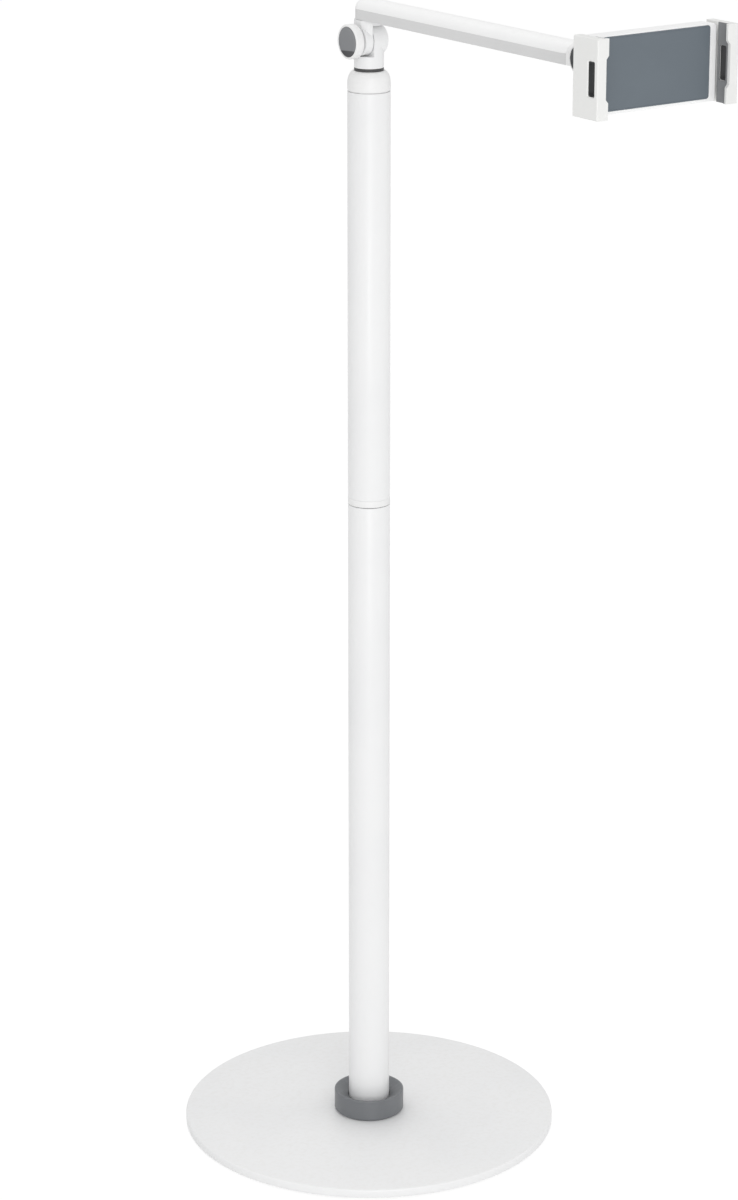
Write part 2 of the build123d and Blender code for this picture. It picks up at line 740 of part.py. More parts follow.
def make_spring(side):
    """A closed coil's outer sleeve, with a hook into the jaw and one to the housing's post."""
    z = arm_z - side * spring_offset
    post_edge = -side * (spring_post_x - spring_post_d / 2)
    coil_start = post_edge + side * spring_hook
    coil_end = side * (housing_half_width - spring_hook)
    hook_end = side * (jaw_inner_x + rail_web_inset)
    x0, x1 = sorted((coil_start, coil_end))
    coil = rod_x(spring_d / 2, x0, x1, spring_y, z)
    coil -= rod_x(spring_d / 2 - spring_wire, x0 + spring_wire, x1 - spring_wire, spring_y, z)
    for a, b in ((post_edge, coil_start), (coil_end, hook_end)):
        w0, w1 = sorted((a, b))
        coil += rod_x(spring_wire, w0, w1, spring_y, z)
    return coil


# Jaws, drawn on the +X side and mirrored for the other

def rail_shape(layer_y, gap):
    """Two tongues and the web that joins them inside the jaw's wall."""
    web_x = jaw_inner_x + rail_web_inset
    y0 = layer_y - rail_t - gap
    y1 = layer_y + gap
    half = rail_w / 2 + gap
    top = rail_offset + half
    shape = block(web_x - gap, web_x + rail_web_w + gap, y0, y1, arm_z - top, arm_z + top)
    for up in (-1, 1):
        z = arm_z + up * rail_offset
        shape += block(-rail_reach, web_x + rail_web_w + gap, y0, y1, z - half, z + half)
    return shape


def slot_bar(gap, x0, x1):
    """A bar with the cable slot's outline, grown by a gap."""
    half_w = jaw_slot_w / 2 + gap
    half_h = jaw_slot_half + gap
    face = RectangleRounded(2 * half_w, 2 * half_h, jaw_slot_corner_r + gap)
    return Pos(x0, slot_near_y + jaw_slot_w / 2, arm_z) * extrude(Plane.YZ * face, x1 - x0)


def slot_cutter(gap):
    """The cable slot, carried through the jaw's wall and its liner."""
    return slot_bar(gap, lip_inner_x, jaw_half_span + overrun)


def make_right_jaw(layer_y, hook_rise):
    wall = block(jaw_inner_x, jaw_half_span, jaw_front_y, back_y,
                 arm_z - jaw_half_height, arm_z + jaw_half_height)
    lip = block(lip_inner_x, jaw_half_span, jaw_front_y, jaw_front_y + lip_t,
                arm_z - jaw_half_height, arm_z + jaw_half_height)
    body = wall + lip
    body = fillet(edge_loops(body, Axis.X, jaw_half_span), jaw_edge)
    body = fillet(edge_loops(body, Axis.X, lip_inner_x) + edge_loops(body, Axis.Y, back_y), jaw_inner_edge)
    half = lip_recess_half
    ramp = half + lip_recess_ramp
    x0 = lip_inner_x - overrun
    notch = make_face(Polyline(
        (x0, -ramp), (lip_inner_x, -ramp), (lip_inner_x + lip_recess, -half),
        (lip_inner_x + lip_recess, half), (lip_inner_x, ramp), (x0, ramp), close=True))
    body -= Pos(0, jaw_front_y + lip_t, arm_z) * extrude(Plane.XZ * notch, lip_t + overrun)
    body -= slot_cutter(0)
    bevel_face = RectangleRounded(jaw_slot_w, 2 * jaw_slot_half, jaw_slot_corner_r)
    bevel_place = Pos(jaw_half_span - jaw_slot_bevel, slot_near_y + jaw_slot_w / 2, arm_z)
    body -= bevel_place * extrude(Plane.YZ * bevel_face, jaw_slot_bevel, taper=-45)
    body -= rail_shape(layer_y, fixed_gap)
    hook_hole = rod_x(spring_wire + fixed_gap, lip_inner_x, jaw_inner_x + rail_web_inset,
                      spring_y, arm_z + hook_rise)
    return body - hook_hole


def make_right_liner():
    top = jaw_half_height - liner_margin
    y0 = jaw_front_y + lip_t
    y1 = housing_front_y - liner_back_gap
    sheet = block(jaw_inner_x - liner_t, jaw_inner_x, y0, y1, arm_z - top, arm_z + top)
    hook_low = lip_recess_half + lip_recess_ramp + liner_margin
    for z0, z1 in ((-top, -hook_low), (hook_low, top)):
        sheet += block(jaw_inner_x - liner_t - liner_hook, jaw_inner_x, y0, y0 + liner_t,
                       arm_z + z0, arm_z + z1)
    return sheet - slot_cutter(free_gap)


def make_right_sleeve():
    """The dark lining of the cable slot."""
    sleeve = slot_bar(-fixed_gap, jaw_inner_x, jaw_half_span - jaw_slot_bevel)
    return sleeve - slot_cutter(-slot_sleeve_wall)


def make_right_rail(layer_y):
    return rail_shape(layer_y, 0)


def mirrored(part):
    return mirror(part, Plane.YZ)


head_place = (0, head_z)
wrist_place = (wrist_y, arm_z)

parts = {
    "base_pad": make_base_pad(),
    "base_plate": make_base_plate(),
    "base_bolt": make_base_bolt(),
    "mast_foot_plug": make_foot_plug(),
    "base_collar": make_base_collar(),
    "lower_tube": make_lower_tube(),
    "lower_bushing": make_lower_bushing(),
    "lock_collar": make_lock_collar(),
    "inner_tube": make_inner_tube(),
    "guide_shoe": make_guide_shoe(),
    "upper_tube": make_upper_tube(),
    "upper_tube_sleeves": make_upper_sleeves(),
    "shoulder_cap": make_shoulder_cap(),
    "neck_gasket": make_neck_gasket(),
    "neck_spindle": make_neck_spindle(),
    "swivel_washer": make_swivel_washer(),
    "swivel_nut": make_swivel_nut(),
    "neck_knuckle": make_neck_knuckle(),
    "head_friction_disc": make_friction_disc(neck_r, *head_place),
    "head_pivot_bolt": make_pivot_bolt(head_knob_nut_h, *head_place),
    "head_knob_washer": make_knob_washer(*head_place),
    "head_knob": make_knob(head_knob_d, head_knob_h, head_knob_hub_d, head_knob_insert_d,
                           head_knob_insert_t, head_knob_nut_h, *head_place),
    "head_knob_insert": make_knob_insert(head_knob_h, head_knob_insert_d, head_knob_insert_t, *head_place),
    "head_knob_nut": make_knob_nut(head_knob_nut_h, *head_place),
    "tilt_bracket": make_tilt_bracket(),
    "arm_root_screws": make_root_screws(),
    "arm_beam": make_arm_beam(),
    "arm_cover": make_arm_cover(),
    "wrist_lug": make_wrist_lug(),
    "wrist_lug_screw": make_tongue_screw(),
    "wrist_friction_disc": make_friction_disc(wrist_r, *wrist_place),
    "wrist_pivot_bolt": make_pivot_bolt(wrist_knob_nut_h, *wrist_place),
    "wrist_knob_washer": make_knob_washer(*wrist_place),
    "wrist_knob": make_knob(wrist_knob_d, wrist_knob_h, wrist_knob_hub_d, wrist_knob_insert_d,
                            wrist_knob_insert_t, wrist_knob_nut_h, *wrist_place),
    "wrist_knob_insert": make_knob_insert(wrist_knob_h, wrist_knob_insert_d, wrist_knob_insert_t,
                                          *wrist_place),
    "wrist_knob_nut": make_knob_nut(wrist_knob_nut_h, *wrist_place),
    "wrist_yoke": make_wrist_yoke(),
    "roll_gasket": make_roll_gasket(),
    "roll_bolt": make_roll_bolt(),
    "roll_washer": make_roll_washer(),
    "holder_back_cover": make_holder_back(),
    "holder_front_frame": make_holder_frame(),
    "holder_pad": make_holder_pad(),
    "holder_screws": make_housing_screws(),
    "left_spring": make_spring(-1),
    "right_spring": make_spring(1),
    "left_jaw": mirrored(make_right_jaw(back_rail_y, spring_offset)),
    "left_jaw_liner": mirrored(make_right_liner()),
    "left_slot_sleeve": mirrored(make_right_sleeve()),
    "left_rail": mirrored(make_right_rail(back_rail_y)),
    "right_jaw": make_right_jaw(front_rail_y, -spring_offset),
    "right_jaw_liner": make_right_liner(),
    "right_slot_sleeve": make_right_sleeve(),
    "right_rail": make_right_rail(front_rail_y),
}

os.makedirs("parts", exist_ok=True)
for name, part in parts.items():
    export_step(part, f"parts/{name}.step")
print(len(parts), "sub-parts written")
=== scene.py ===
import json
import math

import bmesh
import bpy
import numpy as np
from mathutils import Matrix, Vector


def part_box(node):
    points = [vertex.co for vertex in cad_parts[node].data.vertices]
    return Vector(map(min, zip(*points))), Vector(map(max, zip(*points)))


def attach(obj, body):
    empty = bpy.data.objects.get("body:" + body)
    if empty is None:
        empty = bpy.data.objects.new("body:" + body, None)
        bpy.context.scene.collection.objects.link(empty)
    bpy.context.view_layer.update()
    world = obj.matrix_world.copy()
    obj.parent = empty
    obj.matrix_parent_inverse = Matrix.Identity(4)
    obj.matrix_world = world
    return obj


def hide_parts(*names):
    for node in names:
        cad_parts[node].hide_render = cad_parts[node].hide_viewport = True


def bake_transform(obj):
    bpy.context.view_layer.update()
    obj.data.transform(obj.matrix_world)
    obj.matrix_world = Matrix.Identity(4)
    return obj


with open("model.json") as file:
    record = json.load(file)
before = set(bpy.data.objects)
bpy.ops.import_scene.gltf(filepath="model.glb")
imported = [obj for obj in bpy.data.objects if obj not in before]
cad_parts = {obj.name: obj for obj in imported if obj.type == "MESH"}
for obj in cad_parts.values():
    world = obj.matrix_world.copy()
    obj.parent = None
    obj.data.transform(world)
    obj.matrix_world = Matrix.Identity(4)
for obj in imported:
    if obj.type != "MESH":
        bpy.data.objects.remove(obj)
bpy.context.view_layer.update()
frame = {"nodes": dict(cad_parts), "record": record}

print("stage: frame loaded,", len(frame["nodes"]), "nodes")

# Lengths are in metres, in the stand's own frame: +Z up, the arm points along -Y.


# Shapes worked out on grids

# Quads between neighbouring rows and columns of an n by m grid of points.
def gridFaces(rows, cols, closeRows=False, closeCols=False):
    i = np.arange(rows if closeRows else rows - 1)
    j = np.arange(cols if closeCols else cols - 1)
    ii, jj = np.meshgrid(i, j, indexing="ij")
    nextI, nextJ = (ii + 1) % rows, (jj + 1) % cols
    quads = np.stack([ii * cols + jj, nextI * cols + jj, nextI * cols + nextJ, ii * cols + nextJ], -1)
    return quads.reshape(-1, 4)


meshCare = {"mergeGap": 2e-6, "sliverGap": 1e-7, "sharpDeg": 32, "leastCorner": 2e-4}


# Puts points and quads into a mesh object, closes its poles and ends, and turns its faces outwards.
def meshPiece(name, points, quads, ends=()):
    mesh = bpy.data.meshes.new(name)
    faces = quads.tolist() + [list(map(int, e)) for e in ends]
    mesh.from_pydata(points.reshape(-1, 3).tolist(), [], faces)
    bm = bmesh.new()
    bm.from_mesh(mesh)
    bmesh.ops.remove_doubles(bm, verts=bm.verts, dist=meshCare["mergeGap"])
    bmesh.ops.dissolve_degenerate(bm, edges=bm.edges, dist=meshCare["sliverGap"])
    bmesh.ops.recalc_face_normals(bm, faces=bm.faces)
    bm.to_mesh(mesh)
    bm.free()
    mesh.shade_smooth()
    mesh.set_sharp_from_angle(angle=math.radians(meshCare["sharpDeg"]))
    piece = bpy.data.objects.new(name, mesh)
    bpy.context.scene.collection.objects.link(piece)
    return piece


# A line through corner points whose corners are true arcs: each arc is tangent to both runs.
def roundedLine(corners, radii, steps=5, closed=False):
    pts = np.asarray(corners, float)
    count = len(pts)
    out = []
    for k in range(count):
        r = radii[k] if k < len(radii) else 0
        if (not closed and k in (0, count - 1)) or r <= 0:
            out.append(pts[k][None])
            continue
        a, b = pts[k - 1] - pts[k], pts[(k + 1) % count] - pts[k]
        u, v = a / np.linalg.norm(a), b / np.linalg.norm(b)
        half = math.acos(float(np.clip(u @ v, -1, 1))) / 2
        centre = pts[k] + (u + v) / np.linalg.norm(u + v) * (r / math.sin(half))
        p = pts[k] + u * (r / math.tan(half)) - centre
        q = pts[k] + v * (r / math.tan(half)) - centre
        sweep = math.acos(float(np.clip(p @ q / r ** 2, -1, 1)))
        t = np.linspace(0, 1, steps + 1)[:, None]
        out.append(centre + (np.sin((1 - t) * sweep) * p + np.sin(t * sweep) * q) / math.sin(sweep))
    return np.concatenate(out)


# A profile of radius and height carried once round an axis: x = r cos a, y = r sin a, z = height.
def turnedPiece(name, corners, radii, axis="Z", centre=(0, 0, 0), sides=192, steps=5, ring=False):
    line = roundedLine(corners, radii, steps, closed=ring)
    angle = np.linspace(0, 2 * np.pi, sides, endpoint=False)
    r, h = line[:, 0][:, None], line[:, 1][:, None]
    across, up, along = r * np.cos(angle), r * np.sin(angle), h + 0 * angle
    order = {"Z": (across, up, along), "X": (along, across, up)}[axis]
    points = np.stack(order, -1) + np.asarray(centre)
    return meshPiece(name, points, gridFaces(len(line), sides, closeRows=ring, closeCols=True))


# The outline of a rounded rectangle, walked once round with even steps in each corner.
def roundedOutline(halfA, halfB, corner, steps=8):
    quarter = np.linspace(0, np.pi / 2, steps + 1)
    arcs = []
    for k, (sa, sb) in enumerate(((1, 1), (-1, 1), (-1, -1), (1, -1))):
        a = quarter + k * np.pi / 2
        arcs.append(np.stack([sa * (halfA - corner) + corner * np.cos(a),
                              sb * (halfB - corner) + corner * np.sin(a)], -1))
    return np.concatenate(arcs)


# Rounded outlines stacked through a profile of inset and depth, across the Y axis.
def platePiece(name, halfA, halfB, corner, profile, radii, centre, steps=4):
    line = roundedLine(profile, radii, steps)
    least = meshCare["leastCorner"]
    rings = [roundedOutline(halfA - i, halfB - i, max(corner - i, least)) for i in line[:, 0]]
    flat = np.stack(rings)
    depth = np.repeat(line[:, 1][:, None], flat.shape[1], 1)
    points = np.stack([flat[..., 0], depth, flat[..., 1]], -1) + np.asarray(centre)
    n, m = depth.shape
    ends = (np.arange(m), np.arange((n - 1) * m, n * m)[::-1])
    return meshPiece(name, points, gridFaces(n, m, closeCols=True), ends)


# A round wire along a line of points: each ring stands square to the line, turned to a fixed slant.
def wirePiece(name, path, radius, sides):
    path = np.asarray(path, float)
    tangent = np.gradient(path, axis=0)
    tangent /= np.linalg.norm(tangent, axis=1)[:, None]
    guide = np.array([0.0, 0.31, 0.95])  # a slant that no stretch of the coil runs along
    side = np.cross(tangent, guide)
    side /= np.linalg.norm(side, axis=1)[:, None]
    over = np.cross(side, tangent)
    a = np.linspace(0, 2 * np.pi, sides, endpoint=False)
    ring = side[:, None] * np.cos(a)[:, None] + over[:, None] * np.sin(a)[:, None]
    points = path[:, None] + ring * radius
    n = len(path)
    ends = (np.arange(sides), np.arange((n - 1) * sides, n * sides)[::-1])
    return meshPiece(name, points, gridFaces(n, sides, closeCols=True), ends)


# Shader effects that several finishes share

# A Mix node keeps its number sockets and its colour sockets side by side: these are their places.
mixA, mixB, mixOut = 2, 3, 0
tintA, tintB, tintOut = 6, 7, 2

grainLook = {"coarseScale": 0.22, "fineDetail": 2, "coarseDetail": 3}
handlingLook = {"detail": 5, "distortion": 0.4}
pipLook = {"randomness": 0.12, "flatTop": 0.15, "foot": 0.5}
dustLook = {"faceUp": 0.55, "speckLow": 0.45, "speckHigh": 0.7, "detail": 3}


# Makes an empty node group with named sockets, and gives it back with its two ends.
def newGroup(name, inputs, outputs):
    group = bpy.data.node_groups.new(name, "ShaderNodeTree")
    for label, kind, value in inputs:
        socket = group.interface.new_socket(label, in_out="INPUT", socket_type=kind)
        if value is not None:
            socket.default_value = value
    for label, kind in outputs:
        group.interface.new_socket(label, in_out="OUTPUT", socket_type=kind)
    return group, group.nodes.new("NodeGroupInput"), group.nodes.new("NodeGroupOutput")


# Fine grain of paint or moulded plastic: two noises of different size, mixed by share.
def grainGroup():
    group, inp, out = newGroup(
        "fineGrain",
        [("Vector", "NodeSocketVector", None), ("Grain per metre", "NodeSocketFloat", 2500.0),
         ("Coarse share", "NodeSocketFloat", 0.35)],
        [("Height", "NodeSocketFloat")])
    fine, coarse, wider = (group.nodes.new(k) for k in (
        "ShaderNodeTexNoise", "ShaderNodeTexNoise", "ShaderNodeMath"))
    wider.operation = "MULTIPLY"
    wider.inputs[1].default_value = grainLook["coarseScale"]
    mix = group.nodes.new("ShaderNodeMix")
    link = group.links.new
    link(inp.outputs["Grain per metre"], wider.inputs[0])
    for noise, scale, detail in ((fine, inp.outputs["Grain per metre"], grainLook["fineDetail"]),
                                 (coarse, wider.outputs[0], grainLook["coarseDetail"])):
        link(inp.outputs["Vector"], noise.inputs["Vector"])
        link(scale, noise.inputs["Scale"])
        noise.inputs["Detail"].default_value = detail
    link(inp.outputs["Coarse share"], mix.inputs["Factor"])
    link(fine.outputs["Fac"], mix.inputs[mixA])
    link(coarse.outputs["Fac"], mix.inputs[mixB])
    link(mix.outputs[mixOut], out.inputs["Height"])
    return group


# Soft patches left by hands and dust: a wide noise, cut to a band, that goes from none to full.
def handlingGroup():
    group, inp, out = newGroup(
        "handlingMarks",
        [("Vector", "NodeSocketVector", None), ("Patches per metre", "NodeSocketFloat", 14.0),
         ("Low", "NodeSocketFloat", 0.42), ("High", "NodeSocketFloat", 0.68)],
        [("Mask", "NodeSocketFloat")])
    noise, ramp = group.nodes.new("ShaderNodeTexNoise"), group.nodes.new("ShaderNodeMapRange")
    noise.inputs["Detail"].default_value = handlingLook["detail"]
    noise.inputs["Distortion"].default_value = handlingLook["distortion"]
    ramp.interpolation_type = "SMOOTHSTEP"
    link = group.links.new
    link(inp.outputs["Vector"], noise.inputs["Vector"])
    link(inp.outputs["Patches per metre"], noise.inputs["Scale"])
    link(noise.outputs["Fac"], ramp.inputs["Value"])
    link(inp.outputs["Low"], ramp.inputs["From Min"])
    link(inp.outputs["High"], ramp.inputs["From Max"])
    link(ramp.outputs["Result"], out.inputs["Mask"])
    return group


# Small round pips in rows, as on a silicone mat: cells whose distance from their middle is rounded off.
def pipGroup():
    group, inp, out = newGroup(
        "siliconePips",
        [("Vector", "NodeSocketVector", None), ("Pips per metre", "NodeSocketFloat", 900.0)],
        [("Height", "NodeSocketFloat")])
    cells, ramp = group.nodes.new("ShaderNodeTexVoronoi"), group.nodes.new("ShaderNodeMapRange")
    cells.inputs["Randomness"].default_value = pipLook["randomness"]
    ramp.interpolation_type = "SMOOTHSTEP"
    ramp.inputs["From Min"].default_value = pipLook["flatTop"]
    ramp.inputs["From Max"].default_value = pipLook["foot"]
    ramp.inputs["To Min"].default_value = 1
    ramp.inputs["To Max"].default_value = 0
    link = group.links.new
    link(inp.outputs["Vector"], cells.inputs["Vector"])
    link(inp.outputs["Pips per metre"], cells.inputs["Scale"])
    link(cells.outputs["Distance"], ramp.inputs["Value"])
    link(ramp.outputs["Result"], out.inputs["Height"])
    return group


# Fine dust on what faces up: the upward share of the surface's direction, broken up by a small noise.
def dustGroup():
    group, inp, out = newGroup(
        "settledDust",
        [("Vector", "NodeSocketVector", None), ("Specks per metre", "NodeSocketFloat", 260.0),
         ("Amount", "NodeSocketFloat", 0.3)],
        [("Mask", "NodeSocketFloat")])
    facing, split, upward, noise, specks, both, scaled = (group.nodes.new(k) for k in (
        "ShaderNodeNewGeometry", "ShaderNodeSeparateXYZ", "ShaderNodeMapRange", "ShaderNodeTexNoise",
        "ShaderNodeMapRange", "ShaderNodeMath", "ShaderNodeMath"))
    upward.interpolation_type = "SMOOTHSTEP"
    upward.inputs["From Min"].default_value = dustLook["faceUp"]
    specks.inputs["From Min"].default_value = dustLook["speckLow"]
    specks.inputs["From Max"].default_value = dustLook["speckHigh"]
    noise.inputs["Detail"].default_value = dustLook["detail"]
    both.operation = scaled.operation = "MULTIPLY"
    link = group.links.new
    link(facing.outputs["Normal"], split.inputs["Vector"])
    link(split.outputs["Z"], upward.inputs["Value"])
    link(inp.outputs["Vector"], noise.inputs["Vector"])
    link(inp.outputs["Specks per metre"], noise.inputs["Scale"])
    link(noise.outputs["Fac"], specks.inputs["Value"])
    link(upward.outputs["Result"], both.inputs[0])
    link(specks.outputs["Result"], both.inputs[1])
    link(both.outputs[0], scaled.inputs[0])
    link(inp.outputs["Amount"], scaled.inputs[1])
    link(scaled.outputs[0], out.inputs["Mask"])
    return group


# Painted shade on a disc: a mask for the part of it that lies further along a direction than its chord.
def paintedShadeSegmentGroup():
    group, inp, out = newGroup(
        "paintedShadeDiscSegment",
        [("Vector", "NodeSocketVector", None), ("Middle", "NodeSocketVector", None),
         ("Direction", "NodeSocketVector", None), ("Chord", "NodeSocketFloat", 0.006),
         ("Softness", "NodeSocketFloat", 0.0003)],
        [("Mask", "NodeSocketFloat")])
    away, along, over, soft, ramp = (group.nodes.new(k) for k in (
        "ShaderNodeVectorMath", "ShaderNodeVectorMath", "ShaderNodeMath", "ShaderNodeMath",
        "ShaderNodeMapRange"))
    away.operation, along.operation = "SUBTRACT", "DOT_PRODUCT"
    over.operation, soft.operation = "SUBTRACT", "DIVIDE"
    ramp.interpolation_type = "SMOOTHSTEP"
    link = group.links.new
    link(inp.outputs["Vector"], away.inputs[0])
    link(inp.outputs["Middle"], away.inputs[1])
    link(away.outputs["Vector"], along.inputs[0])
    link(inp.outputs["Direction"], along.inputs[1])
    link(along.outputs["Value"], over.inputs[0])
    link(inp.outputs["Chord"], over.inputs[1])
    link(over.outputs[0], soft.inputs[0])
    link(inp.outputs["Softness"], soft.inputs[1])
    link(soft.outputs[0], ramp.inputs["Value"])
    link(ramp.outputs["Result"], out.inputs["Mask"])
    return group


grain, handling, pips, dust, paintedShadeSegment = (
    make() for make in (grainGroup, handlingGroup, pipGroup, dustGroup, paintedShadeSegmentGroup))

# What a user would change in each finish: colours are linear, sizes in metres, rates per metre.
finishes = {
    "whitePowderCoat": {"colour": (0.87, 0.872, 0.874), "marked": (0.85, 0.853, 0.857),
                        "rough": (0.34, 0.43), "grain": 1500, "coarse": 0.5, "depth": 0.00003,
                        "strength": 0.16, "patches": 9, "dust": 0.25, "coat": 0.12},
    # A lighter copy of the white moulded plastic: painted light on the arm cover, the holder's front frame
    # and its back cover.
    "paintedLightWhitePlastic": {"colour": (0.945, 0.945, 0.944), "marked": (0.927, 0.928, 0.928),
                           "rough": (0.38, 0.48), "grain": 3200, "coarse": 0.3, "depth": 0.00002,
                           "strength": 0.16, "patches": 18, "dust": 0.15},
    # A darker copy of the white moulded plastic: painted shade on both jaws.
    "paintedShadeJawPlastic": {"colour": (0.826, 0.828, 0.815), "marked": (0.805, 0.807, 0.795),
                        "rough": (0.36, 0.46), "grain": 3200, "coarse": 0.3, "depth": 0.00002,
                        "strength": 0.16, "patches": 26, "dust": 0.2},
    "whiteMouldedPlastic": {"colour": (0.875, 0.875, 0.873), "marked": (0.855, 0.856, 0.855),
                            "rough": (0.38, 0.48), "grain": 3200, "coarse": 0.3, "depth": 0.00002,
                            "strength": 0.16, "patches": 22, "dust": 0.2},
    "paleGreyPaint": {"colour": (0.70, 0.701, 0.702), "marked": (0.676, 0.677, 0.678),
                      "rough": (0.36, 0.46), "grain": 1400, "coarse": 0.4, "depth": 0.00003,
                      "strength": 0.16, "patches": 12, "stretch": (1, 0.06, 1), "dust": 0.15},
    "darkGreyPlastic": {"colour": (0.158, 0.165, 0.175), "marked": (0.175, 0.182, 0.193),
                        "rough": (0.36, 0.48), "grain": 3000, "coarse": 0.4, "depth": 0.00003,
                        "strength": 0.25, "patches": 30, "dust": 0.05},
    "blackMouldedPlastic": {"colour": (0.034, 0.035, 0.037), "marked": (0.046, 0.047, 0.049),
                            "rough": (0.4, 0.55), "grain": 3000, "coarse": 0.4, "depth": 0.00002,
                            "strength": 0.25, "patches": 40, "dust": 0.04},
    "charcoalPlastic": {"colour": (0.052, 0.052, 0.053), "marked": (0.063, 0.063, 0.064),
                        "rough": (0.45, 0.58), "grain": 3000, "coarse": 0.4, "depth": 0.00002,
                        "strength": 0.25, "patches": 40, "dust": 0.04},
    "slateSilicone": {"colour": (0.128, 0.154, 0.178), "marked": (0.138, 0.165, 0.189),
                      "rough": (0.55, 0.68), "pips": 900, "depth": 0.00005, "strength": 0.25,
                      "patches": 24, "dust": 0.05},
    "neutralSilicone": {"colour": (0.205, 0.21, 0.217), "marked": (0.217, 0.222, 0.229),
                        "rough": (0.5, 0.64), "pips": 1100, "depth": 0.00004, "strength": 0.2,
                        "patches": 30, "dust": 0.05},
    "satinKnobFace": {"colour": (0.212, 0.218, 0.229), "marked": (0.228, 0.234, 0.245), "rough": (0.3, 0.4),
                      "grain": 3000, "coarse": 0.3, "depth": 0.00002, "strength": 0.2, "patches": 40,
                      "dust": 0.04},
    "blackRubber": {"colour": (0.028, 0.028, 0.03), "marked": (0.045, 0.045, 0.047), "rough": (0.7, 0.85),
                    "grain": 1800, "coarse": 0.5, "depth": 0.00005, "strength": 0.5, "patches": 25},
    "brushedSteel": {"colour": (0.56, 0.57, 0.58), "marked": (0.48, 0.49, 0.5), "rough": (0.28, 0.4),
                     "metal": 1.0, "grain": 2200, "coarse": 0.2, "depth": 0.00002, "strength": 0.35,
                     "patches": 40, "stretch": (0.04, 1, 1)},
    "turnedBrass": {"colour": (0.72, 0.52, 0.24), "marked": (0.6, 0.42, 0.19), "rough": (0.25, 0.38),
                    "metal": 1.0, "grain": 2200, "coarse": 0.2, "depth": 0.00002, "strength": 0.3,
                    "patches": 60},
}
dustColour, dustRough, coatRough = (0.78, 0.77, 0.75), 0.85, 0.25


# Colour and gloss go from clean to marked by the handling mask, and then towards dust by the dust mask;
# where a finish asks for it, the colour also takes painted shade beyond a chord of a disc before the dust.
def buildFinish(name, f):
    material = bpy.data.materials.new(name)
    material.use_nodes = True
    nodes, link = material.node_tree.nodes, material.node_tree.links.new
    shader = nodes["Principled BSDF"]
    coords, mapping = nodes.new("ShaderNodeTexCoord"), nodes.new("ShaderNodeMapping")
    mapping.inputs["Scale"].default_value = f.get("stretch", (1, 1, 1))
    link(coords.outputs["Object"], mapping.inputs["Vector"])

    marks, dusty, relief = (nodes.new("ShaderNodeGroup") for _ in range(3))
    marks.node_tree, dusty.node_tree = handling, dust
    marks.inputs["Patches per metre"].default_value = f["patches"]
    dusty.inputs["Amount"].default_value = f.get("dust", 0.0)
    link(coords.outputs["Object"], marks.inputs["Vector"])
    link(coords.outputs["Object"], dusty.inputs["Vector"])

    tint, dustTint = nodes.new("ShaderNodeMix"), nodes.new("ShaderNodeMix")
    tint.data_type = dustTint.data_type = "RGBA"
    tint.inputs[tintA].default_value = (*f["colour"], 1)
    tint.inputs[tintB].default_value = (*f["marked"], 1)
    dustTint.inputs[tintB].default_value = (*dustColour, 1)
    link(marks.outputs["Mask"], tint.inputs["Factor"])
    clean = tint
    # Painted shade: the part of the disc beyond the chord is mixed towards the darker shade colour.
    if "paintedShadeSegment" in f:
        middle, direction, chord, shade = f["paintedShadeSegment"]
        part, clean = nodes.new("ShaderNodeGroup"), nodes.new("ShaderNodeMix")
        part.node_tree, clean.data_type = paintedShadeSegment, "RGBA"
        part.inputs["Middle"].default_value = middle
        part.inputs["Direction"].default_value = direction
        part.inputs["Chord"].default_value = chord
        clean.inputs[tintB].default_value = (*shade, 1)
        link(coords.outputs["Object"], part.inputs["Vector"])
        link(part.outputs["Mask"], clean.inputs["Factor"])
        link(tint.outputs[tintOut], clean.inputs[tintA])
    link(clean.outputs[tintOut], dustTint.inputs[tintA])
    link(dusty.outputs["Mask"], dustTint.inputs["Factor"])
    link(dustTint.outputs[tintOut], shader.inputs["Base Color"])

    gloss, dustGloss = nodes.new("ShaderNodeMapRange"), nodes.new("ShaderNodeMix")
    gloss.inputs["To Min"].default_value, gloss.inputs["To Max"].default_value = f["rough"]
    dustGloss.inputs[mixB].default_value = dustRough
    link(marks.outputs["Mask"], gloss.inputs["Value"])
    link(gloss.outputs["Result"], dustGloss.inputs[mixA])
    link(dusty.outputs["Mask"], dustGloss.inputs["Factor"])
    link(dustGloss.outputs[mixOut], shader.inputs["Roughness"])

    if "pips" in f:
        relief.node_tree = pips
        relief.inputs["Pips per metre"].default_value = f["pips"]
    else:
        relief.node_tree = grain
        relief.inputs["Grain per metre"].default_value = f["grain"]
        relief.inputs["Coarse share"].default_value = f["coarse"]
    link(mapping.outputs["Vector"], relief.inputs["Vector"])
    bump = nodes.new("ShaderNodeBump")
    bump.inputs["Strength"].default_value = f["strength"]
    bump.inputs["Distance"].default_value = f["depth"]
    link(relief.outputs["Height"], bump.inputs["Height"])
    link(bump.outputs["Normal"], shader.inputs["Normal"])
    shader.inputs["Metallic"].default_value = f.get("metal", 0.0)
    shader.inputs["Coat Weight"].default_value = f.get("coat", 0.0)
    shader.inputs["Coat Roughness"].default_value = coatRough
    return material


materials = {name: buildFinish(name, f) for name, f in finishes.items()}
slotFinish = {
    "white_metal": "whitePowderCoat", "grey_metal": "paleGreyPaint",
    "white_plastic": "whiteMouldedPlastic", "dark_plastic": "darkGreyPlastic",
    "black_plastic": "blackMouldedPlastic", "grey_silicone": "slateSilicone",
    "black_rubber": "blackRubber", "steel": "brushedSteel", "brass": "turnedBrass"}


# Gives a piece one finish in place of what it had.
def dress(piece, finish):
    piece.data.materials.clear()
    piece.data.materials.append(materials[finish])


nodeSlot = {s["node"]: s["material_slot"] for s in frame["record"]["subparts"]}
nodeBody = {n: b for b, names in frame["record"]["behaviour"]["bodies"].items() for n in names}
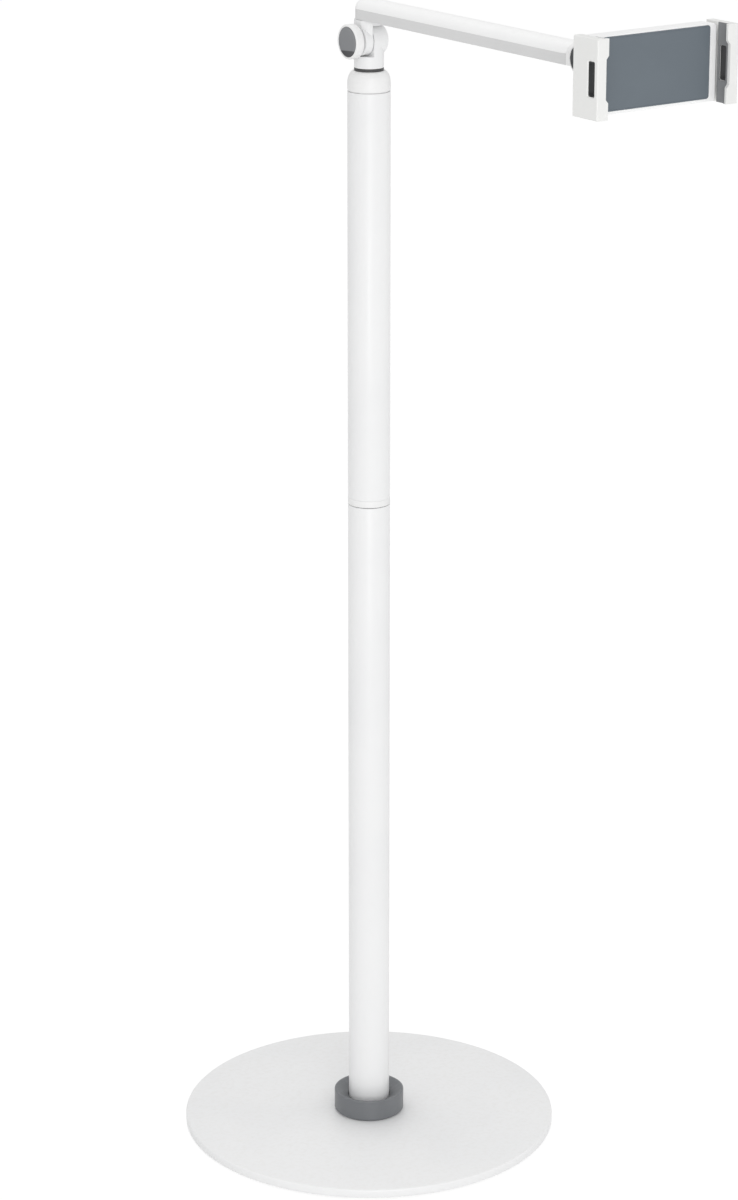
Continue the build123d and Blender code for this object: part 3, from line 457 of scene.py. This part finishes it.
# The arm cover, front frame and back cover take the lighter copy of the white plastic: painted light.
ownFinish = {"neck_gasket": "charcoalPlastic", "arm_cover": "paintedLightWhitePlastic",
             "holder_front_frame": "paintedLightWhitePlastic", "holder_back_cover": "paintedLightWhitePlastic",
             # The jaws take the darker copy of the white plastic: painted shade.
             "left_jaw": "paintedShadeJawPlastic", "right_jaw": "paintedShadeJawPlastic",
             "left_jaw_liner": "neutralSilicone", "right_jaw_liner": "neutralSilicone"}


# A node's own finish, or else the one of its material slot.
def finishOf(node):
    return ownFinish.get(node, slotFinish[nodeSlot[node]])


for node, obj in frame["nodes"].items():
    dress(obj, finishOf(node))
print("stage: finishes on the frame's nodes")


# Sends a new piece to its body, material slot and finish, and lets it stand for its node.
def seat(piece, node, finish=None):
    dress(piece, finish or finishOf(node))
    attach(piece, nodeBody[node])
    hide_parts(node)


# Base

basePlate = {"edge": 0.0016, "underEdge": 0.0005, "boltHole": 0.0102, "sides": 288}
basePad = {"edge": 0.0004, "grooves": 9, "grooveDepth": 0.0005, "plainMiddle": 0.03, "steps": 220}


# A disc with rounded edges, and under it a pad with pressed rings: depth = d times sin(pi n s) squared.
def makeBase():
    lo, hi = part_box("base_plate")
    r, v = hi.x, basePlate
    seat(turnedPiece("basePlateDisc", [
        (v["boltHole"], lo.z), (r, lo.z), (r, hi.z), (v["boltHole"], hi.z)],
        (0, v["underEdge"], v["edge"], 0), sides=v["sides"], ring=True), "base_plate")
    lo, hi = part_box("base_pad")
    v = basePad
    rim = hi.x - 2 * v["edge"]
    run = np.linspace(v["plainMiddle"], rim, v["steps"])
    share = (run - v["plainMiddle"]) / (rim - v["plainMiddle"])
    under = lo.z + v["grooveDepth"] * np.sin(np.pi * v["grooves"] * share) ** 2
    edge = roundedLine([(rim, lo.z), (hi.x, lo.z), (hi.x, hi.z), (0, hi.z)], (0, v["edge"], v["edge"]))
    line = np.concatenate([[(0, lo.z)], np.stack([run, under], -1), edge[1:]])
    seat(turnedPiece("basePadDisc", line, ()), "base_pad")


baseCollar = {"edge": 0.0009, "footBevel": 0.0016, "lip": 0.0018, "lipEdge": 0.0007, "dish": 0.006,
              "tubeGap": 0.0006, "innerEdge": 0.0003}


# A ring whose top falls inwards to the tube in a straight slope, with a bevelled foot.
def makeBaseCollar():
    lo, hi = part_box("base_collar")
    v = baseCollar
    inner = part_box("lower_tube")[1].x + v["tubeGap"]
    seat(turnedPiece("footCollar", [
        (inner, lo.z), (hi.x - v["footBevel"], lo.z), (hi.x, lo.z + v["footBevel"]), (hi.x, hi.z),
        (hi.x - v["lip"], hi.z), (inner, hi.z - v["dish"])],
        (0, v["innerEdge"], v["edge"], v["edge"], v["lipEdge"], v["innerEdge"]), ring=True), "base_collar")


# Mast

mast = {"wall": 0.0015, "endEdge": 0.0003, "seamEdge": 0.00035, "ringBore": 0.0143, "noseRoom": 0.01553,
        "noseHeight": 0.00408, "ringEase": 0.00004, "ringTopEdge": 0.0003, "ringFootEdge": 0.0002}


# Thin tubes with rounded ends, and the lock ring that is stepped inside to clear the bushing's nose.
def makeMast():
    v = mast
    for node, name, lowEdge, topEdge in (
            ("lower_tube", "lowerMastTube", v["endEdge"], v["seamEdge"]),
            ("upper_tube", "upperMastTube", v["seamEdge"], v["seamEdge"]),
            ("inner_tube", "innerMastTube", v["endEdge"], v["endEdge"])):
        lo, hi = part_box(node)
        r = hi.x
        seat(turnedPiece(name, [
            (r - v["wall"], lo.z), (r, lo.z), (r, hi.z), (r - v["wall"], hi.z)],
            (v["endEdge"], lowEdge, topEdge, v["endEdge"]), ring=True), node)
    lo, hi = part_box("lock_collar")
    step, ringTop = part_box("lower_tube")[1].z + v["noseHeight"], hi.z - v["ringEase"]
    seat(turnedPiece("mastLockRing", [
        (v["ringBore"], ringTop), (v["ringBore"], step), (v["noseRoom"], step), (v["noseRoom"], lo.z),
        (hi.x, lo.z), (hi.x, ringTop)],
        (v["ringTopEdge"], 0, 0, v["ringFootEdge"], v["seamEdge"], v["seamEdge"]), ring=True),
        "lock_collar")


shoulderCap = {"seam": 0.0008, "wall": 0.006, "ledge": 0.0002, "lowEdge": 0.0004, "spigotWall": 0.0025,
               "fit": 0.00002, "bore": 0.00505, "bossR": 0.009, "domeSteps": 28}


# A short wall that runs into a quarter ellipse, with a spigot and a middle boss below it:
# r = ledge + (R - ledge) cos t and z = wall top + rise sin t.
def makeShoulderCap():
    lo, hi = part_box("shoulder_cap")
    tubeTop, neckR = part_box("upper_tube")[1].z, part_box("neck_gasket")[1].x
    v = shoulderCap
    spigotR = hi.x - mast["wall"] - v["fit"]
    ledgeR, wallTop = neckR + v["ledge"], tubeTop + v["wall"]
    t = np.linspace(0, np.pi / 2, v["domeSteps"])
    dome = np.stack([ledgeR + (hi.x - ledgeR) * np.cos(t), wallTop + (hi.z - wallTop) * np.sin(t)], -1)
    start = roundedLine([(spigotR, tubeTop + v["seam"]), (hi.x, tubeTop + v["seam"]), (hi.x, wallTop)],
                        (0, v["lowEdge"], 0))
    inside = [(v["bore"], hi.z), (v["bore"], lo.z), (v["bossR"], lo.z), (v["bossR"], wallTop),
              (spigotR - v["spigotWall"], tubeTop), (spigotR - v["spigotWall"], lo.z), (spigotR, lo.z)]
    line = np.concatenate([start, dome[1:], inside])
    seat(turnedPiece("mastShoulderCap", line, (), ring=True), "shoulder_cap")


neckGasket = {"hole": 0.007, "edge": 0.00035, "sides": 160}


# A flat dark ring with rounded rims: a rectangle of radius and height, carried round.
def makeNeckGasket():
    lo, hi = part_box("neck_gasket")
    v = neckGasket
    seat(turnedPiece("neckGasketRing", [
        (v["hole"], lo.z), (hi.x, lo.z), (hi.x, hi.z), (v["hole"], hi.z)],
        (0, v["edge"], v["edge"], 0), sides=v["sides"], ring=True), "neck_gasket")


# Knobs

knob = {"rim": 0.0014, "lip": 0.0005, "hubRound": 0.0005, "hubStep": 0.0018, "way": 0.0031, "fit": 0.00002,
        "hubR": {"head": 0.0085, "wrist": 0.0072}, "sides": 128}
# The face's chord, shade colour and direction paint shade on one part of each knob face; on the head knob
# that is the lower part.
knobFace = {"dish": 0.0004, "deep": 2.2, "slopeAt": 0.78, "slope": 1.6, "brinkAt": 0.93, "brink": 0.3,
            "rounds": (0, 0.012, 0.0015, 0.0003, 0.0002), "roundSteps": 7,
            "chord": 0.57, "shade": (0.052, 0.054, 0.058),
            "paintedShadeTowards": {"head": (0, -0.073, -0.997), "wrist": (0, 1, 0)}}


# A flat round knob along X: a stepped hub, a rounded rim and a pocket with a shallow dished disc, whose
# face has painted shade on its part beyond a chord.
def makeKnob(prefix):
    lo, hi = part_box(prefix + "_knob")
    insertLo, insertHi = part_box(prefix + "_knob_insert")
    centre = (0, (lo.y + hi.y) / 2, (lo.z + hi.z) / 2)
    v, f = knob, knobFace
    r, hub, insertR = (hi.y - lo.y) / 2, v["hubR"][prefix], (insertHi.y - insertLo.y) / 2
    back = hi.x - v["hubStep"]
    seat(turnedPiece(prefix + "KnobBody", [
        (v["way"], hi.x), (hub, hi.x), (hub, back), (r, back), (r, lo.x),
        (insertR + v["fit"], lo.x), (insertR + v["fit"], insertHi.x), (v["way"], insertHi.x)],
        (0, v["hubRound"], v["hubRound"], v["rim"], v["rim"], v["lip"], 0, 0),
        axis="X", centre=centre, sides=v["sides"], ring=True), prefix + "_knob")
    face = prefix + "KnobFace"
    # The face's own finish, with painted shade beyond the chord.
    materials[face] = buildFinish(face, {**finishes["satinKnobFace"], "paintedShadeSegment": (
        centre, f["paintedShadeTowards"][prefix], f["chord"] * insertR, f["shade"])})
    front, dish = insertLo.x, f["dish"]
    seat(turnedPiece(face, [
        (0, front + dish * f["deep"]), (insertR * f["slopeAt"], front + dish * f["slope"]),
        (insertR * f["brinkAt"], front + dish * f["brink"]), (insertR, front + dish),
        (insertR, insertHi.x), (0, insertHi.x)],
        f["rounds"], axis="X", centre=centre, sides=v["sides"], steps=f["roundSteps"]),
        prefix + "_knob_insert", face)


makeBase()
makeBaseCollar()
makeMast()
makeShoulderCap()
makeNeckGasket()
makeKnob("head")
makeKnob("wrist")
print("stage: base, mast and knobs")


# Holder pad

holderPad = {"corner": 0.0024, "edge": 0.0004, "rim": 0.0009, "groove": 0.00018,
             "grooveShares": (1.3, 1.6, 2.2)}


# A thin pad with a fine line pressed in along its border, at set shares of the rim's width.
def makePad():
    lo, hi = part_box("holder_pad")
    v = holderPad
    front, back = lo.y, hi.y
    low, end, flat = (v["rim"] * share for share in v["grooveShares"])
    seat(platePiece(
        "holderPadSheet", (hi.x - lo.x) / 2, (hi.z - lo.z) / 2, v["corner"],
        [(0, back), (0, front), (v["rim"], front), (low, front + v["groove"]), (end, front), (flat, front)],
        (0, v["edge"], 0, 0, 0, 0), (0, 0, (lo.z + hi.z) / 2)), "holder_pad")


makePad()


# Springs

spring = {"turns": 60, "wire": 0.00035, "coilR": 0.00175, "stepsPerTurn": 12, "hook": 0.004, "tip": 0.0004,
          "taperShare": 0.02, "sides": 8}


# A close coil of radius R s, y = R s cos a and z = R s sin a: s falls to nothing at both ends, and the
# wire goes on straight from there.
def makeSpring(side):
    node, body = side + "_spring", side + "_jaw_body"
    lo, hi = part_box(node)
    sign = 1 if side == "right" else -1
    start, end = (lo.x, hi.x) if sign > 0 else (hi.x, lo.x)
    v = spring
    t = np.linspace(0, 1, v["turns"] * v["stepsPerTurn"])
    swell = np.clip(np.minimum(t, 1 - t) / v["taperShare"], 0, 1)
    swell = swell * swell * (3 - 2 * swell)  # eased, so that the coil has no kink where it narrows
    hookShare = v["hook"] / abs(end - start)
    run = start + (end - start) * (hookShare + t * (1 - 2 * hookShare))
    turn = 2 * np.pi * v["turns"] * t
    coil = np.stack([run, (lo.y + hi.y) / 2 + v["coilR"] * swell * np.cos(turn),
                     (lo.z + hi.z) / 2 + v["coilR"] * swell * np.sin(turn)], -1)
    middle = np.array([0, (lo.y + hi.y) / 2, (lo.z + hi.z) / 2])
    tips = np.array([[start + sign * v["tip"], 0, 0], [end - sign * v["tip"], 0, 0]]) + middle
    path = np.concatenate([tips[:1], coil, tips[1:]])
    piece = wirePiece(side + "SpringWire", path, v["wire"], v["sides"])
    dress(piece, slotFinish["steel"])
    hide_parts(node)
    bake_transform(piece)


makeSpring("left")
makeSpring("right")
print("stage: pad and springs")


# Arm cover

armCover = {"wall": 0.0018, "arch": 40, "length": 60, "nose": 24, "endRound": 0.0012}


# A half-elliptic ridge along -Y, closed at the head by the same arch swung round the mast's axis.
def makeArmCover():
    lo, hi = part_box("arm_cover")
    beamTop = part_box("arm_beam")[1].z
    v = armCover
    half, rise, length = hi.x, hi.z - beamTop, -lo.y
    arch = np.linspace(0, np.pi, v["arch"])
    shell = []
    for inset in (0.0, v["wall"]):
        a, b = half - inset, rise - inset
        far = length - inset
        # straight part: x = a cos t, z = b sin t, pulled in a little at the wrist end
        run = far * np.linspace(1, 0, v["length"])
        near = np.clip((far - run) / v["endRound"], 0, 1)
        pull = v["endRound"] * (1 - np.sqrt(np.clip(1 - (1 - near) ** 2, 0, 1))) * (0 if inset else 1)
        x = np.cos(arch)[None] * (a - pull[:, None])
        z = np.sin(arch)[None] * (b - pull[:, None])
        straight = np.stack([x, np.repeat(-run[:, None], v["arch"], 1), beamTop + z], -1)
        # nose: the same arch swung round the mast's axis
        swing = np.linspace(0, np.pi / 2, v["nose"])[1:, None]
        nx = np.cos(arch)[None] * a * np.cos(swing)
        ny = np.abs(np.cos(arch))[None] * a * np.sin(swing)
        nose = np.stack([nx, ny, np.repeat((beamTop + np.sin(arch) * b)[None], len(swing), 0)], -1)
        shell.append(np.concatenate([straight, nose]))
    outer, inner = shell
    n, m = outer.shape[:2]
    points = np.concatenate([outer.reshape(-1, 3), inner.reshape(-1, 3)])
    quads = gridFaces(n, m)
    rows = np.arange(n - 1)
    left = np.stack([rows * m, (rows + 1) * m, (rows + 1) * m + n * m, rows * m + n * m], -1)
    right = left + (m - 1)
    cap = [np.arange(m), np.arange(m)[::-1] + n * m]
    walls = np.concatenate([quads, quads[:, ::-1] + n * m, left, right])
    seat(meshPiece("armCoverShell", points, walls, cap), "arm_cover")


makeArmCover()
print("stage: arm cover")


# Stage, light and camera

studio = {"floorSide": 12.0, "floorColour": (0.82, 0.82, 0.82), "patchShare": 0.985, "patches": 3,
          "floorRough": 0.9, "glow": 1.12, "glowShare": 0.78, "ambient": 0.75}
lamps = {
    "keyBox": {"place": (-1.35, -2.75, 1.5), "target": (0, -0.1, 0.35), "size": 1.6, "watts": 20},
    "fillBox": {"place": (2.6, -1.6, 0.9), "target": (0, 0, 0.5), "size": 1.8, "watts": 3},
    "lowBox": {"place": (-1.15, -1.75, 0.32), "target": (0, 0, 0.12), "size": 0.5, "watts": 3.8},
    "topBox": {"place": (0.2, 0.9, 2.9), "target": (0, 0, 0.5), "size": 1.5, "watts": 11},
}


# A square of matt floor, which the camera and reflections see mixed with an even white glow.
def makeFloor():
    s = studio["floorSide"] / 2
    corners = np.array([[-s, -s, 0], [s, -s, 0], [s, s, 0], [-s, s, 0]], float)
    floor = meshPiece("studioFloor", corners, np.array([[0, 1, 2, 3]]))
    material = bpy.data.materials.new("paleStudioFloor")
    material.use_nodes = True
    nodes, link = material.node_tree.nodes, material.node_tree.links.new
    shader = nodes["Principled BSDF"]
    coords, noise, tint = (nodes.new(k) for k in (
        "ShaderNodeTexCoord", "ShaderNodeTexNoise", "ShaderNodeMix"))
    tint.data_type = "RGBA"
    tint.inputs[tintA].default_value = (*studio["floorColour"], 1)
    tint.inputs[tintB].default_value = (*[c * studio["patchShare"] for c in studio["floorColour"]], 1)
    noise.inputs["Scale"].default_value = studio["patches"]
    link(coords.outputs["Object"], noise.inputs["Vector"])
    link(noise.outputs["Fac"], tint.inputs["Factor"])
    link(tint.outputs[tintOut], shader.inputs["Base Color"])
    shader.inputs["Roughness"].default_value = studio["floorRough"]
    path, glow, blend = (nodes.new(k) for k in (
        "ShaderNodeLightPath", "ShaderNodeEmission", "ShaderNodeMixShader"))
    seen, share = nodes.new("ShaderNodeMath"), nodes.new("ShaderNodeMath")
    seen.operation, share.operation = "MAXIMUM", "MULTIPLY"
    share.inputs[1].default_value = studio["glowShare"]
    glow.inputs["Strength"].default_value = studio["glow"]
    link(path.outputs["Is Camera Ray"], seen.inputs[0])
    link(path.outputs["Is Glossy Ray"], seen.inputs[1])
    link(seen.outputs[0], share.inputs[0])
    link(share.outputs[0], blend.inputs["Fac"])
    link(shader.outputs["BSDF"], blend.inputs[1])
    link(glow.outputs["Emission"], blend.inputs[2])
    link(blend.outputs["Shader"], nodes["Material Output"].inputs["Surface"])
    floor.data.materials.append(material)


# Soft light from all round, in whose place the camera sees plain white.
def makeWorld():
    world = bpy.data.worlds.new("softStudio")
    bpy.context.scene.world = world
    world.use_nodes = True
    nodes, link = world.node_tree.nodes, world.node_tree.links.new
    dim = nodes["Background"]
    dim.inputs["Color"].default_value = (1, 1, 1, 1)
    dim.inputs["Strength"].default_value = studio["ambient"]
    seen, path, white, blend = (nodes.new(k) for k in (
        "ShaderNodeMath", "ShaderNodeLightPath", "ShaderNodeBackground", "ShaderNodeMixShader"))
    seen.operation = "MAXIMUM"
    white.inputs["Color"].default_value = (1, 1, 1, 1)
    white.inputs["Strength"].default_value = 1
    link(path.outputs["Is Camera Ray"], seen.inputs[0])
    link(path.outputs["Is Transmission Ray"], seen.inputs[1])
    link(seen.outputs[0], blend.inputs["Fac"])
    link(dim.outputs["Background"], blend.inputs[1])
    link(white.outputs["Background"], blend.inputs[2])
    link(blend.outputs["Shader"], nodes["World Output"].inputs["Surface"])


# A square lamp whose face is turned to its target.
def softBox(name, place, target, size, watts):
    lamp = bpy.data.lights.new(name, "AREA")
    lamp.shape, lamp.size, lamp.energy = "SQUARE", size, watts
    obj = bpy.data.objects.new(name, lamp)
    obj.location = place
    obj.rotation_euler = (Vector(target) - Vector(place)).to_track_quat("-Z", "Y").to_euler()
    bpy.context.scene.collection.objects.link(obj)


# Worked out from the photograph. The focal length is in pixels of its 1200 pixel height.
view = {"azimuthDeg": -35.35, "pitchDeg": 17.77, "reach": 2.92597, "height": 1.41275,
        "focalPixels": 3667.74, "photoPixels": 1200, "film": 36, "near": 0.05, "far": 60}


# The camera stands on a circle round the mast, x = reach sin a and y = -reach cos a, and looks down at it.
def makeCamera():
    azimuth, pitch = math.radians(view["azimuthDeg"]), math.radians(view["pitchDeg"])
    reach = view["reach"]
    data = bpy.data.cameras.new("photoCamera")
    data.sensor_fit, data.sensor_width, data.sensor_height = "AUTO", view["film"], view["film"]
    data.lens = view["focalPixels"] / view["photoPixels"] * view["film"]
    data.clip_start, data.clip_end = view["near"], view["far"]
    camera = bpy.data.objects.new("photoCamera", data)
    camera.location = (math.sin(azimuth) * reach, -math.cos(azimuth) * reach, view["height"])
    camera.rotation_euler = (math.pi / 2 - pitch, 0, azimuth)
    bpy.context.scene.collection.objects.link(camera)
    bpy.context.scene.camera = camera


makeFloor()
makeWorld()
for lampName, lamp in lamps.items():
    softBox(lampName, **lamp)
makeCamera()
bpy.context.scene.view_settings.view_transform = "Standard"
print("stage: floor, light and camera")
